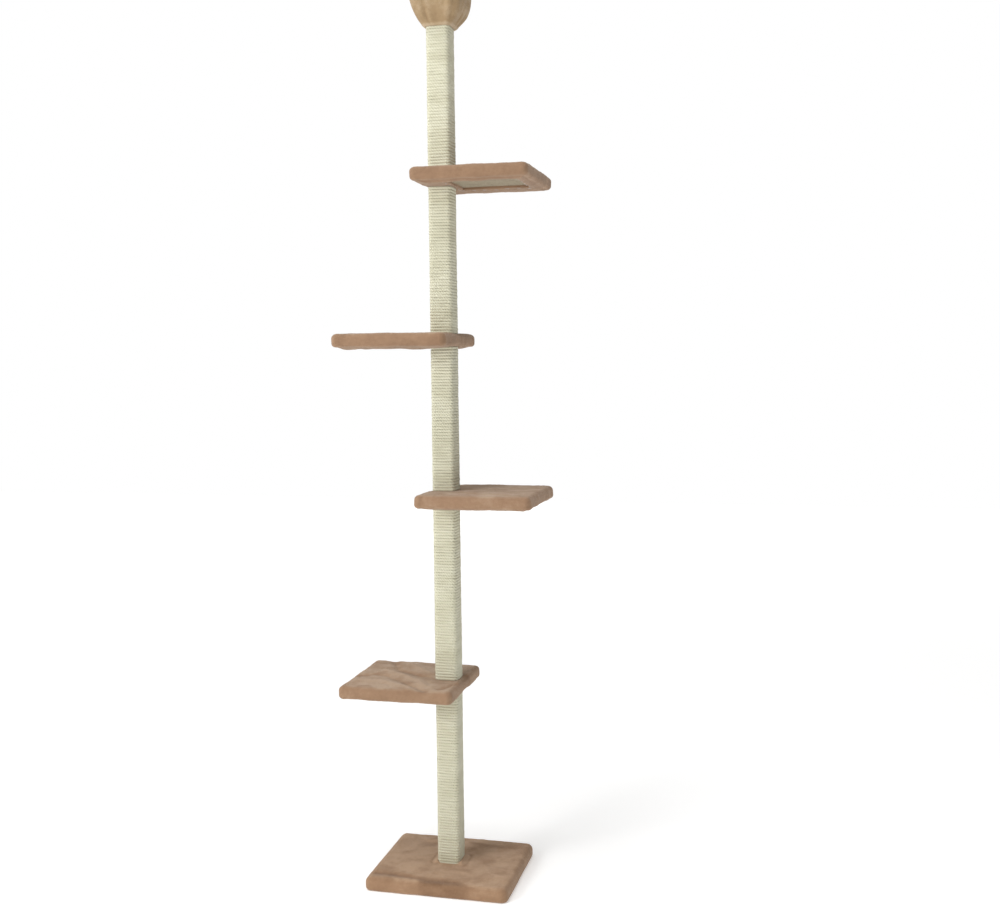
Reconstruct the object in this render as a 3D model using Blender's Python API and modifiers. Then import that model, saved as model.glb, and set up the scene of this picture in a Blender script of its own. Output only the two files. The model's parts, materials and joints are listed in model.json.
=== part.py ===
"""Floor-to-ceiling cat tree: a square post wound with sisal rope, in five sections, on a plush-covered base,
with four plush-covered platforms clamped between the sections and a screw tensioner under a plush bonnet.

Metres, +Z up. The origin is the middle of the base's underside, which is also the post's axis.
+X is to the right, +Y to the back, and the platforms stand out to the left, right, left and right.
"""

import math

import bmesh
import bpy
from mathutils import Matrix

# ---------------------------------------------------------------- driving dimensions
GAP = 0.0003                            # between pieces that touch
BASE_WIDTH = 0.400
BASE_DEPTH = 0.340
PLATFORM_WIDTH = 0.320                  # along X, from the edge beside the post to the far edge
PLATFORM_DEPTH = 0.320
PLATFORM_NEAR_EDGE = 0.046              # from the post's axis to the edge beside it
PLATFORM_SIDES = (-1, 1, -1, 1)         # the side each platform stands out to, lowest first
SECTION_LENGTHS = (0.500, 0.500, 0.400, 0.400, 0.400)   # rope in view on each section
PLATE_RISE = 0.1017                     # from the post's top to the ceiling plate, at rest in a 2.5 m room

# Plush covers and the boards in them
BASE_BOARD_THICKNESS = 0.018
PLATFORM_BOARD_THICKNESS = 0.018
HEM_PILE = 0.005                        # plush folded under the board
BASE_TOP_PILE = 0.0104
PLATFORM_TOP_PILE = 0.0114
SIDE_PILE = 0.0082
HEM_WIDTH = 0.042                       # how far the plush reaches in under the board
WIDE_HEM = 0.100                        # and on one side edge of each platform
HEM_PAST_POST = 0.010                   # and, beside the post, how far past the post it reaches
COVER_CORNER = 0.016                    # corner radius of a cover seen from above
COVER_EDGE = 0.0085                     # rounding of its top and bottom edges
PRESSED_PILE = 0.003                    # plush left under the foot of the post

# Post
CORE_WIDTH = 0.050
CORE_WALL = 0.004
CORE_CORNER = 0.002
ROPE_DIAMETER = 0.0075
PLUG_LENGTH = 0.030

# Fasteners: M10 through the joints, M12 for the tensioner
STUD_RADIUS = 0.005
STUD_REACH = 0.026                      # of the stud into each section
NUT_FLATS = 0.016
NUT_HEIGHT = 0.0084
BOLT_HEAD_HEIGHT = 0.0060
BASE_WASHER_RADIUS = 0.015
BASE_WASHER_THICKNESS = 0.0020
BASE_COUNTERBORE = 0.0050
HOLE_CLEARANCE = 0.0008                 # round a stud, bolt or rod that passes through
ROD_RADIUS = 0.006
ROD_TAIL = 0.100                        # of the rod inside the top section at rest
ADJUSTING_NUT_FLATS = 0.024
ADJUSTING_NUT_HEIGHT = 0.014
ADJUSTING_FLANGE_RADIUS = 0.0165
ADJUSTING_FLANGE_THICKNESS = 0.003
THRUST_WASHER_RADIUS = 0.018
THRUST_WASHER_THICKNESS = 0.0025
LOCK_NUT_FLATS = 0.018
LOCK_NUT_HEIGHT = 0.006
FLANGE_NUT_RADIUS = 0.016
FLANGE_NUT_THICKNESS = 0.002
FLANGE_NUT_BARREL_RADIUS = 0.0085
FLANGE_NUT_BARREL_LENGTH = 0.011

# Ceiling plate and bonnet
PLATE_WIDTH = 0.136
PLATE_THICKNESS = 0.018
PAD_THICKNESS = 0.006
BONNET_WALL = 0.005
BONNET_FOLD = 0.014                     # of the bonnet over the plate's top
BONNET_FLARE = 0.086                    # height over which its gathers open to the full width
BONNET_FLARE_STEPS = 7
BONNET_ROUNDNESS = 0.6                  # of the flare: 0 is a straight slope, 1 a quarter of an ellipse
BONNET_OVERLAP = 0.008                  # of the bonnet's hem down over the rope
BONNET_CORNER_SHARE = 0.22              # corner radius over half the width
BONNET_ROUNDING = BONNET_WALL / 2       # of its top edge, less than what would narrow the room inside
ELASTIC_WIDTH = 0.006
ELASTIC_THICKNESS = 0.0015

# ---------------------------------------------------------------- derived sizes
ROPE_INNER = CORE_WIDTH / 2 + GAP       # half the width of the square inside the rope
POST_HALF = ROPE_INNER + ROPE_DIAMETER  # half the post's width over the rope
POST_CORNER = CORE_CORNER + GAP + ROPE_DIAMETER
PLUG_WIDTH = CORE_WIDTH - 2 * CORE_WALL - 2 * GAP
STUD_HOLE = STUD_RADIUS + HOLE_CLEARANCE
ROD_HOLE = ROD_RADIUS + HOLE_CLEARANCE
NEAR_HEM = PLATFORM_NEAR_EDGE + POST_HALF + HEM_PAST_POST
HALF_ACROSS_CORNERS = 1 / math.cos(math.pi / 6) / 2

CUT = 0.002                             # how far a cutter runs past the face it opens
ROUND_STEPS = 20                        # sides of a small round piece

# ---------------------------------------------------------------- scene and collections
for left_over in list(bpy.data.objects):
    bpy.data.objects.remove(left_over, do_unlink=True)

PARTS = bpy.data.collections.new("cat_tree")
CUTTERS = bpy.data.collections.new("cutters")
bpy.context.scene.collection.children.link(PARTS)
bpy.context.scene.collection.children.link(CUTTERS)


# ---------------------------------------------------------------- materials
def material(name, colour, roughness, metallic=0.0):
    """A Principled material; colour is linear red, green, blue."""
    made = bpy.data.materials.new(name)
    made.use_nodes = True
    shader = made.node_tree.nodes["Principled BSDF"]
    shader.inputs["Base Color"].default_value = (*colour, 1.0)
    shader.inputs["Roughness"].default_value = roughness
    shader.inputs["Metallic"].default_value = metallic
    return made


PLUSH = material("plush", (0.42, 0.28, 0.18), 0.95)
SISAL = material("sisal", (0.66, 0.58, 0.42), 0.90)
BOARD = material("particle_board", (0.34, 0.27, 0.18), 0.80)
TUBE = material("pressed_paper_tube", (0.45, 0.34, 0.22), 0.85)
PLUG_WOOD = material("plug_wood", (0.55, 0.38, 0.21), 0.70)
STEEL = material("zinc_plated_steel", (0.62, 0.63, 0.64), 0.35, 1.0)
RUBBER = material("pad_rubber", (0.03, 0.03, 0.03), 0.80)
ELASTIC = material("woven_elastic", (0.60, 0.57, 0.52), 0.85)


# ---------------------------------------------------------------- modelling helpers
def add_object(name, shape, finish=None, parent=None, place=(0, 0, 0), smooth=True):
    """Turns a bmesh into a named part, or into a cutter when it has no finish."""
    mesh = bpy.data.meshes.new(name)
    shape.to_mesh(mesh)
    shape.free()
    made = bpy.data.objects.new(name, mesh)
    made.location = place
    made.parent = parent
    if finish is None:
        CUTTERS.objects.link(made)
        made.hide_render = True
        made.display_type = "WIRE"
        return made
    PARTS.objects.link(made)
    mesh.materials.append(finish)
    if smooth:
        mesh.shade_smooth()
        mesh.set_sharp_from_angle(angle=math.radians(35))
    return made


def slab(width, depth, height, corner=0.0, segments=4):
    """A plate with its underside's middle at the origin, and rounded corners seen from above."""
    shape = bmesh.new()
    size = Matrix.Diagonal((width, depth, height, 1))
    lift = Matrix.Translation((0, 0, height / 2))
    bmesh.ops.create_cube(shape, size=1.0, matrix=lift @ size)
    if corner:
        uprights = [e for e in shape.edges if abs(e.verts[0].co.z - e.verts[1].co.z) > height / 2]
        bmesh.ops.bevel(shape, geom=uprights, offset=corner, segments=segments, profile=0.5, affect="EDGES")
    return shape


def prism(radius, height, sides=ROUND_STEPS):
    """An upright prism or round bar with its underside's middle at the origin."""
    shape = bmesh.new()
    lift = Matrix.Translation((0, 0, height / 2))
    bmesh.ops.create_cone(
        shape, cap_ends=True, segments=sides, radius1=radius, radius2=radius, depth=height, matrix=lift
    )
    return shape


def hexagon(across_flats, height):
    """A hexagonal prism measured across its flats."""
    return prism(across_flats * HALF_ACROSS_CORNERS, height, sides=6)


def turned(name, profile, finish, parent=None, place=(0, 0, 0), closed=True):
    """A turned piece: a profile of (radius, height) points, down its outer side first, spun about Z."""
    shape = bmesh.new()
    points = [shape.verts.new((radius, 0, height)) for radius, height in profile]
    for first, second in zip(points, points[1:]):
        shape.edges.new((first, second))
    if closed:
        shape.edges.new((points[-1], points[0]))
    made = add_object(name, shape, finish, parent, place, smooth=False)
    spin = made.modifiers.new("spin", "SCREW")
    spin.steps = ROUND_STEPS
    spin.render_steps = ROUND_STEPS
    spin.use_merge_vertices = True
    spin.merge_threshold = 0.0001
    return made


def soften(part, width, segments):
    """Rounds the sharp edges of a part."""
    bevel = part.modifiers.new("soften", "BEVEL")
    bevel.width = width
    bevel.segments = segments
    bevel.limit_method = "ANGLE"
    bevel.angle_limit = math.radians(40)


def boolean(part, tool, operation):
    """Cuts or joins a part with a tool, which is kept among the cutters."""
    step = part.modifiers.new(tool.name, "BOOLEAN")
    step.operation = operation
    step.solver = "EXACT"
    step.object = tool


def cut(part, name, shape, place=(0, 0, 0)):
    """Cuts a shape, placed as the part's parent measures, out of a part."""
    boolean(part, add_object(name, shape, None, part.parent, place), "DIFFERENCE")


def join(part, name, shape, place=(0, 0, 0)):
    """Joins an overlapping shape to a part."""
    boolean(part, add_object(name, shape, None, part.parent, place), "UNION")


def axis_empty(name, height):
    """An empty on the post's axis that moving pieces hang on."""
    made = bpy.data.objects.new(name, None)
    made.location = (0, 0, height)
    PARTS.objects.link(made)
    return made


# ---------------------------------------------------------------- boards and their plush covers
def covered_board(name, width, depth, centre, board_thickness, top_pile, hems, parent=None):
    """A particle board and the plush stapled round it. Returns both, with the cover's height.

    centre is the middle of the cover along X; hems gives how far the plush reaches in under the board
    from the left, right, front and back edge.
    """
    height = HEM_PILE + GAP + board_thickness + GAP + top_pile
    board_low = HEM_PILE + GAP
    board_width = width - 2 * SIDE_PILE - 2 * GAP
    board_depth = depth - 2 * SIDE_PILE - 2 * GAP
    board_corner = COVER_CORNER - SIDE_PILE

    board = add_object(
        name + "_board", slab(board_width, board_depth, board_thickness, board_corner), BOARD, parent,
        (centre, 0, board_low),
    )
    cover = add_object(
        name + "_cover", slab(width, depth, height, COVER_CORNER), PLUSH, parent, (centre, 0, 0)
    )
    soften(cover, COVER_EDGE, 3)
    room = slab(board_width + 2 * GAP, board_depth + 2 * GAP, board_thickness + 2 * GAP, board_corner)
    cut(cover, name + "_board_room", room, (centre, 0, HEM_PILE))
    left, right, front, back = hems
    opening = slab(width - left - right, depth - front - back, HEM_PILE + CUT + GAP / 2)
    opening_centre = (centre + (left - right) / 2, (front - back) / 2, -CUT)
    cut(cover, name + "_hem_opening", opening, opening_centre)
    return board, cover, height


def make_base():
    """The base: board, cover, and the bolt with its washer that hold the post's foot."""
    board, cover, height = covered_board(
        "base", BASE_WIDTH, BASE_DEPTH, 0, BASE_BOARD_THICKNESS, BASE_TOP_PILE, (HEM_WIDTH,) * 4
    )
    board_low = HEM_PILE + GAP
    board_top = board_low + BASE_BOARD_THICKNESS
    pocket_floor = board_top + GAP + PRESSED_PILE
    cut(board, "base_bolt_hole", prism(STUD_HOLE, BASE_BOARD_THICKNESS + 2 * CUT), (0, 0, board_low - CUT))
    counterbore = prism(BASE_WASHER_RADIUS + HOLE_CLEARANCE, BASE_COUNTERBORE + CUT)
    cut(board, "base_counterbore", counterbore, (0, 0, board_low - CUT))

    pocket_width = 2 * (POST_HALF + GAP)
    pocket = slab(pocket_width, pocket_width, height - pocket_floor + CUT, POST_CORNER + GAP)
    cut(cover, "base_foot_pocket", pocket, (0, 0, pocket_floor))
    cut(cover, "base_cover_hole", prism(STUD_HOLE, PRESSED_PILE + 2 * CUT), (0, 0, board_top - CUT))

    washer_top = board_low + BASE_COUNTERBORE - GAP
    washer_low = washer_top - BASE_WASHER_THICKNESS
    washer("base_washer", BASE_WASHER_RADIUS, STUD_RADIUS + GAP, BASE_WASHER_THICKNESS, washer_low)
    head_low = washer_low - GAP - BOLT_HEAD_HEIGHT
    shank_top = pocket_floor + GAP + STUD_REACH
    bolt = add_object("base_bolt", hexagon(NUT_FLATS, BOLT_HEAD_HEIGHT), STEEL, None, (0, 0, head_low), False)
    inside_head = BOLT_HEAD_HEIGHT / 2
    join(bolt, "base_bolt_shank", prism(STUD_RADIUS, shank_top - head_low - inside_head),
         (0, 0, head_low + inside_head))
    return pocket_floor, height


def make_platform(index, side, low):
    """A platform: board and cover on an empty on the post's axis, about which it turns.

    All platforms are alike, so one on the left is one on the right turned round.
    """
    name = f"platform_{index}"
    swivel = axis_empty(name + "_swivel", low)
    centre = side * (PLATFORM_WIDTH / 2 - PLATFORM_NEAR_EDGE)
    hems = (NEAR_HEM, HEM_WIDTH, HEM_WIDTH, WIDE_HEM)
    if side < 0:
        hems = (HEM_WIDTH, NEAR_HEM, WIDE_HEM, HEM_WIDTH)
    board, cover, height = covered_board(
        name, PLATFORM_WIDTH, PLATFORM_DEPTH, centre, PLATFORM_BOARD_THICKNESS, PLATFORM_TOP_PILE, hems, swivel
    )
    for piece in (board, cover):
        cut(piece, piece.name + "_stud_hole", prism(STUD_HOLE, height + 2 * CUT), (0, 0, -CUT))
    stud_low = low - GAP - STUD_REACH
    stud_top = low + height + GAP + STUD_REACH
    bar(name + "_stud", STUD_RADIUS, stud_low, stud_top)
    return low + height


# ---------------------------------------------------------------- small turned and hexagonal pieces
def washer(name, outer, inner, thickness, low):
    """A flat washer."""
    profile = [(outer, thickness), (outer, 0), (inner, 0), (inner, thickness)]
    return turned(name, profile, STEEL, None, (0, 0, low))


def bar(name, radius, low, top, parent=None, chamfer=0.001):
    """A round bar with chamfered ends, on the post's axis."""
    length = top - low
    profile = [
        (0, length), (radius - chamfer, length), (radius, length - chamfer),
        (radius, chamfer), (radius - chamfer, 0), (0, 0),
    ]
    base = parent.location.z if parent else 0
    return turned(name, profile, STEEL, parent, (0, 0, low - base), closed=False)


def hex_nut(name, across_flats, height, bore, low, parent=None):
    """A hexagonal nut with a plain bore."""
    base = parent.location.z if parent else 0
    nut = add_object(name, hexagon(across_flats, height), STEEL, parent, (0, 0, low - base), False)
    cut(nut, name + "_bore", prism(bore, height + 2 * CUT), (0, 0, low - base - CUT))
    return nut


# ---------------------------------------------------------------- post
def make_plug(name, low, opens_up, hole, with_nut=True):
    """An end plug with a hole for the stud and, on its inner side, a hexagonal room with a captive nut."""
    plug = add_object(name + "_plug", slab(PLUG_WIDTH, PLUG_WIDTH, PLUG_LENGTH), PLUG_WOOD, None, (0, 0, low), False)
    cut(plug, name + "_hole", prism(hole, PLUG_LENGTH + 2 * CUT), (0, 0, low - CUT))
    if not with_nut:
        return
    room_depth = NUT_HEIGHT + 2 * GAP
    room_low = low + PLUG_LENGTH - room_depth if opens_up else low - CUT
    room = hexagon(NUT_FLATS + 2 * GAP, room_depth + CUT)
    cut(plug, name + "_nut_room", room, (0, 0, room_low))
    nut_low = room_low + GAP if opens_up else low + GAP
    hex_nut(name + "_nut", NUT_FLATS, NUT_HEIGHT, STUD_RADIUS + GAP, nut_low)


def make_section(index, low, top, last):
    """One post section: square tube core, its two end plugs, and the sleeve of rope wound on it."""
    name = f"section_{index}"
    length = top - low
    core = add_object(name + "_core", slab(CORE_WIDTH, CORE_WIDTH, length, CORE_CORNER, 2), TUBE, None, (0, 0, low))
    hollow_width = CORE_WIDTH - 2 * CORE_WALL
    cut(core, name + "_hollow", slab(hollow_width, hollow_width, length + 2 * CUT), (0, 0, low - CUT))

    sisal = add_object(
        name + "_sisal", slab(2 * POST_HALF, 2 * POST_HALF, length, POST_CORNER), SISAL, None, (0, 0, low)
    )
    core_room = slab(2 * ROPE_INNER, 2 * ROPE_INNER, length + 2 * CUT, CORE_CORNER + GAP, 2)
    cut(sisal, name + "_core_room", core_room, (0, 0, low - CUT))

    make_plug(name + "_foot", low, True, STUD_HOLE)
    head_low = top - PLUG_LENGTH
    if last:
        make_plug(name + "_head", head_low, False, ROD_HOLE, with_nut=False)
    else:
        make_plug(name + "_head", head_low, False, STUD_HOLE)


# ---------------------------------------------------------------- tensioner, ceiling plate and bonnet
def make_tensioner(post_top):
    """The washer and nut on the post's top, and what the nut lifts: rod, lock nut, flanged nut, plate, pad."""
    washer_low = post_top + GAP
    washer("thrust_washer", THRUST_WASHER_RADIUS, ROD_HOLE, THRUST_WASHER_THICKNESS, washer_low)
    nut_low = washer_low + THRUST_WASHER_THICKNESS + GAP
    nut = add_object(
        "adjusting_nut", hexagon(ADJUSTING_NUT_FLATS, ADJUSTING_NUT_HEIGHT), STEEL, None, (0, 0, nut_low), False
    )
    flange = prism(ADJUSTING_FLANGE_RADIUS, ADJUSTING_FLANGE_THICKNESS, 32)
    join(nut, "adjusting_nut_flange", flange, (0, 0, nut_low))
    bore = prism(ROD_RADIUS + GAP, ADJUSTING_NUT_HEIGHT + 2 * CUT)
    cut(nut, "adjusting_nut_bore", bore, (0, 0, nut_low - CUT))

    plate_low = post_top + PLATE_RISE
    plate_top = plate_low + PLATE_THICKNESS
    lift = axis_empty("ceiling_plate_lift", plate_low)
    plate_corner = BONNET_CORNER_SHARE * bonnet_half() - BONNET_WALL + GAP
    plate = add_object(
        "ceiling_plate", slab(PLATE_WIDTH, PLATE_WIDTH, PLATE_THICKNESS, plate_corner), BOARD, lift, (0, 0, 0)
    )
    barrel_room = prism(FLANGE_NUT_BARREL_RADIUS + GAP, PLATE_THICKNESS + 2 * CUT)
    cut(plate, "plate_barrel_room", barrel_room, (0, 0, -CUT))
    flange_room_depth = FLANGE_NUT_THICKNESS + GAP
    flange_room = prism(FLANGE_NUT_RADIUS + GAP, flange_room_depth + CUT, 28)
    cut(plate, "plate_flange_room", flange_room, (0, 0, PLATE_THICKNESS - flange_room_depth))

    barrel_low = PLATE_THICKNESS - FLANGE_NUT_THICKNESS - FLANGE_NUT_BARREL_LENGTH
    flange_low = PLATE_THICKNESS - FLANGE_NUT_THICKNESS
    bore_radius = ROD_RADIUS + GAP
    turned(
        "flange_nut",
        [
            (FLANGE_NUT_RADIUS, PLATE_THICKNESS), (FLANGE_NUT_RADIUS, flange_low),
            (FLANGE_NUT_BARREL_RADIUS, flange_low), (FLANGE_NUT_BARREL_RADIUS, barrel_low),
            (bore_radius, barrel_low), (bore_radius, PLATE_THICKNESS),
        ],
        STEEL, lift,
    )
    bar("tension_rod", ROD_RADIUS, post_top - ROD_TAIL, plate_top - GAP, lift)
    hex_nut("lock_nut", LOCK_NUT_FLATS, LOCK_NUT_HEIGHT, bore_radius, plate_low - GAP - LOCK_NUT_HEIGHT, lift)

    pad_width = PLATE_WIDTH - 2 * BONNET_FOLD - 4 * GAP
    pad = slab(pad_width, pad_width, PAD_THICKNESS, BONNET_CORNER_SHARE * pad_width / 2)
    add_object("ceiling_pad", pad, RUBBER, lift, (0, 0, PLATE_THICKNESS + GAP))
    return plate_top


def bonnet_half():
    """Half the bonnet's width where it covers the plate."""
    return PLATE_WIDTH / 2 + GAP + BONNET_WALL


def bonnet_profile(height):
    """(height, half width) up the bonnet's outside, from its gathered hem to the fold over the plate."""
    hem_half = POST_HALF + GAP + ELASTIC_THICKNESS + GAP + BONNET_WALL
    full = bonnet_half()
    points = [(0, hem_half)]
    for step in range(1, BONNET_FLARE_STEPS + 1):
        share = step / BONNET_FLARE_STEPS
        opened = BONNET_ROUNDNESS * math.sqrt(1 - (1 - share) ** 2) + (1 - BONNET_ROUNDNESS) * share
        rise = ELASTIC_WIDTH + (BONNET_FLARE - ELASTIC_WIDTH) * share
        points.append((rise, hem_half + (full - hem_half) * opened))
    points.append((height - BONNET_ROUNDING, full))
    points.append((height, full - BONNET_ROUNDING))
    points.append((height, PLATE_WIDTH / 2 - BONNET_FOLD))
    return points


def make_bonnet(post_top, plate_top):
    """The plush bonnet, lofted up its profile from a rounded square, and the elastic in its hem."""
    hem = post_top - BONNET_OVERLAP
    # The wall grows inwards from this outside, so the fold's outside stands a wall above the plate
    height = plate_top + GAP + BONNET_WALL - hem
    profile = bonnet_profile(height)

    start = profile[0][1]
    shape = bmesh.new()
    corners = [shape.verts.new((x * start, y * start, 0)) for x, y in ((1, 1), (-1, 1), (-1, -1), (1, -1))]
    for first, second in zip(corners, corners[1:] + corners[:1]):
        shape.edges.new((first, second))
    bmesh.ops.bevel(
        shape, geom=corners, offset=BONNET_CORNER_SHARE * start, segments=4, profile=0.5, affect="VERTICES"
    )
    ring = list(shape.edges)
    for (z_from, half_from), (z_to, half_to) in zip(profile, profile[1:]):
        raised = bmesh.ops.extrude_edge_only(shape, edges=ring)["geom"]
        points = [item for item in raised if isinstance(item, bmesh.types.BMVert)]
        ring = [item for item in raised if isinstance(item, bmesh.types.BMEdge)]
        bmesh.ops.translate(shape, verts=points, vec=(0, 0, z_to - z_from))
        share = half_to / half_from
        bmesh.ops.scale(shape, verts=points, vec=(share, share, 1))
    bmesh.ops.recalc_face_normals(shape, faces=shape.faces)
    bonnet = add_object("bonnet", shape, PLUSH, None, (0, 0, hem))
    wall = bonnet.modifiers.new("wall", "SOLIDIFY")
    wall.thickness = BONNET_WALL
    wall.offset = -1
    wall.use_even_offset = True

    inside = POST_HALF + GAP
    outside = inside + ELASTIC_THICKNESS
    elastic = add_object(
        "bonnet_elastic", slab(2 * outside, 2 * outside, ELASTIC_WIDTH, POST_CORNER + GAP + ELASTIC_THICKNESS),
        ELASTIC, None, (0, 0, hem),
    )
    room = slab(2 * inside, 2 * inside, ELASTIC_WIDTH + 2 * CUT, POST_CORNER + GAP)
    cut(elastic, "elastic_room", room, (0, 0, hem - CUT))


# ---------------------------------------------------------------- the whole tree, from the floor up
foot, level = make_base()
low = foot + GAP
for number, length in enumerate(SECTION_LENGTHS, start=1):
    last = number == len(SECTION_LENGTHS)
    top = level + length if last else level + length - GAP
    make_section(number, low, top, last)
    if last:
        post_top = top
    else:
        level = make_platform(number, PLATFORM_SIDES[number - 1], level + length)
        low = level + GAP
make_bonnet(post_top, make_tensioner(post_top))
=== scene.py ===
# %% [markdown]
# # A floor-to-ceiling cat tree
# A slim square post wound with sisal rope stands on a plush base and is screwed tight against
# the ceiling. Four plush platforms are clamped between the post's five lengths, and a gathered
# plush bonnet hides the screw at the top. The hard pieces come in ready made. This lesson adds
# the rope, the plush and the finishes, and puts the tree in a pale studio.

import json
import math

import bpy
import numpy as np
from mathutils import Matrix, Vector

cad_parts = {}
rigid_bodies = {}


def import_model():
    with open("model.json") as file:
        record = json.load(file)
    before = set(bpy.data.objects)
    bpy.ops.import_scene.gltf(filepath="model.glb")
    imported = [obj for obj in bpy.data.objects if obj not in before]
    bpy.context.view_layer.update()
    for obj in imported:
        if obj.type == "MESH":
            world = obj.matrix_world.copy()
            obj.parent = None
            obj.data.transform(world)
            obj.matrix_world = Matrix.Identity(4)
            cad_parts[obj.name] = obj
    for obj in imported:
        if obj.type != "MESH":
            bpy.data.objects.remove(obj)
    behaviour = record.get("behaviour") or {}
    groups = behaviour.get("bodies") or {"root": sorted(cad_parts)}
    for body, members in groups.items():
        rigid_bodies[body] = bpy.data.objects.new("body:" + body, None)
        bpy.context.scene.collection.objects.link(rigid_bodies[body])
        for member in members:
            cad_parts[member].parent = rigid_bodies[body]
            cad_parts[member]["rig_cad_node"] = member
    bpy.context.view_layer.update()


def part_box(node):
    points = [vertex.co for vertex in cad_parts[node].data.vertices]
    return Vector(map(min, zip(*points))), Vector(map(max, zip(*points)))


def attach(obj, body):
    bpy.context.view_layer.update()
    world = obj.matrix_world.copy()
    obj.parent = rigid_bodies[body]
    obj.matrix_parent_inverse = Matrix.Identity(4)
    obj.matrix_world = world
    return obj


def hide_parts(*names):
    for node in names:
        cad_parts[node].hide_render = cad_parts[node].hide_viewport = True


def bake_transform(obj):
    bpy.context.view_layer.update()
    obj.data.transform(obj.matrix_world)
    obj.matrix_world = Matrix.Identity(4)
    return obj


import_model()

# %% [markdown]
# ## The camera
# The tree is two and a half metres tall, so the camera stands three and a half metres off, a
# little to the right, at about the height of a person's shoulder, and looks down slightly. A
# camera could be aimed with three angles in the right order. Here its turn is built from three
# plain directions instead, where it looks, its right side and its top side, so each can be read.

# %% Place the camera
CAMERA_PLACE = (0.9647, -3.2841, 1.4671)
CAMERA_PAN = math.radians(13.8428)
CAMERA_PITCH = math.radians(-4.7102)
CAMERA_ROLL = math.radians(-0.5987)
CAMERA_LENS = 44.19
SENSOR_WIDTH = 36.0

ahead = np.array([
    -math.sin(CAMERA_PAN) * math.cos(CAMERA_PITCH),
    math.cos(CAMERA_PAN) * math.cos(CAMERA_PITCH),
    math.sin(CAMERA_PITCH),
])
level_right = np.array([math.cos(CAMERA_PAN), math.sin(CAMERA_PAN), 0.0])
level_up = np.cross(level_right, ahead)
camera_right = math.cos(CAMERA_ROLL) * level_right + math.sin(CAMERA_ROLL) * level_up
camera_up = -math.sin(CAMERA_ROLL) * level_right + math.cos(CAMERA_ROLL) * level_up
turn = Matrix(np.column_stack([camera_right, camera_up, -ahead]).tolist())
camera_data = bpy.data.cameras.new("camera")
camera_data.lens = CAMERA_LENS
camera_data.sensor_width = SENSOR_WIDTH
camera = bpy.data.objects.new("camera", camera_data)
camera.matrix_world = Matrix.Translation(CAMERA_PLACE) @ turn.to_4x4()
bpy.context.scene.collection.objects.link(camera)
bpy.context.scene.camera = camera
print("camera at", CAMERA_PLACE, "lens", CAMERA_LENS, "mm")

# %% [markdown]
# ## The studio
# The tree stands in plain soft light. One way is a bright surround alone, but that leaves no
# shade to show the shapes. So a weak surround only fills the shadows, and two large soft lamps do
# the rest: the main one in front on the left, so that the post's right-hand faces fall into
# gentle shade, and one high above. Where the camera sees the surround itself, it is white paper.

# %% The surround
scene = bpy.context.scene
scene.view_settings.view_transform = "Standard"
WHITE = (1.0, 1.0, 1.0, 1.0)
FILL_LIGHT = 0.46

world = bpy.data.worlds.new("surround")
world.use_nodes = True
soft_fill = world.node_tree.nodes["Background"]
soft_fill.inputs["Strength"].default_value = FILL_LIGHT
white_paper = world.node_tree.nodes.new("ShaderNodeBackground")
for shade in (soft_fill, white_paper):
    shade.inputs["Color"].default_value = WHITE
seen = world.node_tree.nodes.new("ShaderNodeLightPath")
either = world.node_tree.nodes.new("ShaderNodeMixShader")
surface = world.node_tree.nodes["World Output"].inputs["Surface"]
world.node_tree.links.new(seen.outputs["Is Camera Ray"], either.inputs["Fac"])
world.node_tree.links.new(soft_fill.outputs["Background"], either.inputs[1])
world.node_tree.links.new(white_paper.outputs["Background"], either.inputs[2])
world.node_tree.links.new(either.outputs["Shader"], surface)
scene.world = world
print("surround fills the shadows with", FILL_LIGHT)


# %% The lamps
def lamp(name, place, aim, size, watts):
    """A square soft lamp at a place, turned so that its face looks at the aim point."""
    data = bpy.data.lights.new(name, "AREA")
    data.shape = "SQUARE"
    data.size = size
    data.energy = watts
    new = bpy.data.objects.new(name, data)
    facing = (Vector(aim) - Vector(place)).to_track_quat("-Z", "Y").to_matrix().to_4x4()
    new.matrix_world = Matrix.Translation(place) @ facing
    scene.collection.objects.link(new)


lamp("main_lamp", place=(-2.6, -3.4, 2.4), aim=(0.0, 0.0, 1.2), size=1.8, watts=96.0)
lamp("top_lamp", place=(-0.7, -1.2, 6.2), aim=(0.0, 0.0, 1.0), size=2.8, watts=128.0)

# %% [markdown]
# ## Surfaces from grids
# Rope and cloth could be drawn as curves and sculpted by hand, but a formula is easier to read and
# to change. So every new piece is a grid of points that numpy works out all at once. The helper
# turns such a grid into faces: each point is joined to its neighbours along its row and its
# column, and a row or a column can be closed on itself. The sign of the enclosed volume tells
# whether the faces point outwards, and they are turned over when they don't.

# %% From a grid of points to a mesh
def grid_faces(rows, columns, wrap_rows=False, wrap_columns=False):
    """Four corners for each cell: a point, the next in its row, the one beyond, the one above."""
    row = np.arange(rows if wrap_rows else rows - 1)
    column = np.arange(columns if wrap_columns else columns - 1)
    row, column = np.meshgrid(row, column, indexing="ij")
    next_row, next_column = (row + 1) % rows, (column + 1) % columns
    corners = [row * columns + column, row * columns + next_column,
               next_row * columns + next_column, next_row * columns + column]
    return np.stack(corners, -1).reshape(-1, 4)


def enclosed_volume(points, faces):
    """Sum over the faces of corner . (edge x edge), each four-sided face as two triangles."""
    triangles = [faces[:, :3]] + ([faces[:, [0, 2, 3]]] if faces.shape[1] == 4 else [])
    a, b, c = (points[np.vstack(triangles)[:, i]] for i in range(3))
    return float(np.einsum("ij,ij->i", a, np.cross(b, c)).sum() / 6)


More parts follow.
